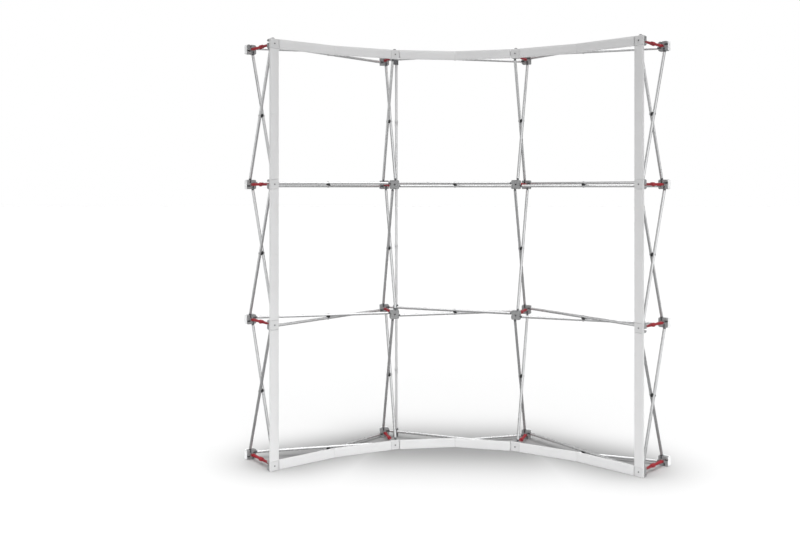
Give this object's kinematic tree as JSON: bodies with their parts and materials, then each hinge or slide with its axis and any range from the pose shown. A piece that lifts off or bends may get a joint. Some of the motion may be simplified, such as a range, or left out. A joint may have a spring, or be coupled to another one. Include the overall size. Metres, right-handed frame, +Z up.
{
  "type": "pop up display backwall",
  "caption": "Curved folding display backwall frame: crossing aluminium tubes between hub pairs, red claw locks, flat folding rim bars and square hub caps.",
  "frame": {"origin": "middle of the frame's box at floor level", "axes": "+X along the wall to the right as seen from the hollow front, +Y from the front to the back, +Z up"},
  "size_m": [2.2924, 0.6516, 2.264],
  "materials": {
    "hub_plastic": "mid grey moulded plastic, matt",
    "tube_aluminium": "drawn aluminium tube, satin anodised",
    "strut_aluminium": "drawn aluminium tube, satin anodised",
    "plug_plastic": "dark grey moulded plastic",
    "pin_steel": "bright steel pin",
    "screw_steel": "darkened steel screw",
    "pivot_black": "black moulded plastic",
    "cap_plastic": "light grey moulded plastic, matt",
    "rear_cap_plastic": "pale grey moulded plastic, matt",
    "bar_white": "pale grey extruded plastic, satin",
    "lock_red": "red moulded plastic, satin gloss",
    "lock_rod_red": "dark red moulded plastic, satin gloss",
    "clip_plastic": "dark grey moulded plastic"
  },
  "bodies": {
    "frame": {"front_hubs_c1": "hub_plastic", "front_hubs_c2": "hub_plastic", "front_hubs_c3": "hub_plastic", "front_hubs_c4": "hub_plastic", "rear_hubs_c1": "hub_plastic", "rear_hubs_c2": "hub_plastic", "rear_hubs_c3": "hub_plastic", "rear_hubs_c4": "hub_plastic", "vertical_tubes_c1": "tube_aluminium", "vertical_tubes_c2": "tube_aluminium", "vertical_tubes_c3": "tube_aluminium", "vertical_tubes_c4": "tube_aluminium", "horizontal_tubes_r1": "tube_aluminium", "horizontal_tubes_r2": "tube_aluminium", "horizontal_tubes_r3": "tube_aluminium", "horizontal_tubes_r4": "tube_aluminium", "vertical_tube_plugs": "plug_plastic", "horizontal_tube_plugs": "plug_plastic", "vertical_hub_pins": "pin_steel", "horizontal_hub_pins": "pin_steel", "pivot_saddles": "pivot_black", "pivot_rivets": "pivot_black", "front_caps": "cap_plastic", "rear_caps": "rear_cap_plastic", "cap_screws": "screw_steel", "top_bar_b1": "bar_white", "top_bar_b2": "bar_white", "top_bar_b3": "bar_white", "bottom_bar_b1": "bar_white", "bottom_bar_b2": "bar_white", "bottom_bar_b3": "bar_white", "left_bar_b1": "bar_white", "left_bar_b2": "bar_white", "left_bar_b3": "bar_white", "right_bar_b1": "bar_white", "right_bar_b2": "bar_white", "right_bar_b3": "bar_white", "bar_hinge_pins": "pin_steel", "lock_rods": "lock_rod_red", "lock_pins": "pin_steel", "stabiliser_clips": "clip_plastic", "stabiliser_tubes": "strut_aluminium", "stabiliser_elbows": "pivot_black", "stabiliser_pins": "pin_steel"},
    "claw_c1r1": {"lock_claw_c1r1": "lock_red"},
    "claw_c1r2": {"lock_claw_c1r2": "lock_red"},
    "claw_c1r3": {"lock_claw_c1r3": "lock_red"},
    "claw_c1r4": {"lock_claw_c1r4": "lock_red"},
    "claw_c2r1": {"lock_claw_c2r1": "lock_red"},
    "claw_c2r2": {"lock_claw_c2r2": "lock_red"},
    "claw_c2r3": {"lock_claw_c2r3": "lock_red"},
    "claw_c2r4": {"lock_claw_c2r4": "lock_red"},
    "claw_c3r1": {"lock_claw_c3r1": "lock_red"},
    "claw_c3r2": {"lock_claw_c3r2": "lock_red"},
    "claw_c3r3": {"lock_claw_c3r3": "lock_red"},
    "claw_c3r4": {"lock_claw_c3r4": "lock_red"},
    "claw_c4r1": {"lock_claw_c4r1": "lock_red"},
    "claw_c4r2": {"lock_claw_c4r2": "lock_red"},
    "claw_c4r3": {"lock_claw_c4r3": "lock_red"},
    "claw_c4r4": {"lock_claw_c4r4": "lock_red"}
  },
  "joints": [
    {"name": "claw_lift_c1r1", "type": "hinge", "parent": "frame", "child": "claw_c1r1", "pos_m": [-1.0987, -0.13968, 2.2305], "axis": [-0.7266, -0.6871, 0], "range_deg": [0, 60]},
    {"name": "claw_lift_c1r2", "type": "hinge", "parent": "frame", "child": "claw_c1r2", "pos_m": [-1.0987, -0.13968, 1.4955], "axis": [-0.7266, -0.6871, 0], "range_deg": [0, 60]},
    {"name": "claw_lift_c1r3", "type": "hinge", "parent": "frame", "child": "claw_c1r3", "pos_m": [-1.0987, -0.13968, 0.7605], "axis": [-0.7266, -0.6871, 0], "range_deg": [0, 60]},
    {"name": "claw_lift_c1r4", "type": "hinge", "parent": "frame", "child": "claw_c1r4", "pos_m": [-1.0987, -0.13968, 0.0255], "axis": [-0.7266, -0.6871, 0], "range_deg": [0, 60]},
    {"name": "claw_lift_c2r1", "type": "hinge", "parent": "frame", "child": "claw_c2r1", "pos_m": [-0.41373, 0.27842, 2.2305], "axis": [-0.9432, -0.3322, 0], "range_deg": [0, 60]},
    {"name": "claw_lift_c2r2", "type": "hinge", "parent": "frame", "child": "claw_c2r2", "pos_m": [-0.41373, 0.27842, 1.4955], "axis": [-0.9432, -0.3322, 0], "range_deg": [0, 60]},
    {"name": "claw_lift_c2r3", "type": "hinge", "parent": "frame", "child": "claw_c2r3", "pos_m": [-0.41373, 0.27842, 0.7605], "axis": [-0.9432, -0.3322, 0], "range_deg": [0, 60]},
    {"name": "claw_lift_c2r4", "type": "hinge", "parent": "frame", "child": "claw_c2r4", "pos_m": [-0.41373, 0.27842, 0.0255], "axis": [-0.9432, -0.3322, 0], "range_deg": [0, 60]},
    {"name": "claw_lift_c3r1", "type": "hinge", "parent": "frame", "child": "claw_c3r1", "pos_m": [0.41373, 0.27842, 2.2305], "axis": [-0.9432, 0.3322, 0], "range_deg": [0, 60]},
    {"name": "claw_lift_c3r2", "type": "hinge", "parent": "frame", "child": "claw_c3r2", "pos_m": [0.41373, 0.27842, 1.4955], "axis": [-0.9432, 0.3322, 0], "range_deg": [0, 60]},
    {"name": "claw_lift_c3r3", "type": "hinge", "parent": "frame", "child": "claw_c3r3", "pos_m": [0.41373, 0.27842, 0.7605], "axis": [-0.9432, 0.3322, 0], "range_deg": [0, 60]},
    {"name": "claw_lift_c3r4", "type": "hinge", "parent": "frame", "child": "claw_c3r4", "pos_m": [0.41373, 0.27842, 0.0255], "axis": [-0.9432, 0.3322, 0], "range_deg": [0, 60]},
    {"name": "claw_lift_c4r1", "type": "hinge", "parent": "frame", "child": "claw_c4r1", "pos_m": [1.0987, -0.13968, 2.2305], "axis": [-0.7266, 0.6871, 0], "range_deg": [0, 60]},
    {"name": "claw_lift_c4r2", "type": "hinge", "parent": "frame", "child": "claw_c4r2", "pos_m": [1.0987, -0.13968, 1.4955], "axis": [-0.7266, 0.6871, 0], "range_deg": [0, 60]},
    {"name": "claw_lift_c4r3", "type": "hinge", "parent": "frame", "child": "claw_c4r3", "pos_m": [1.0987, -0.13968, 0.7605], "axis": [-0.7266, 0.6871, 0], "range_deg": [0, 60]},
    {"name": "claw_lift_c4r4", "type": "hinge", "parent": "frame", "child": "claw_c4r4", "pos_m": [1.0987, -0.13968, 0.0255], "axis": [-0.7266, 0.6871, 0], "range_deg": [0, 60]}
  ]
}
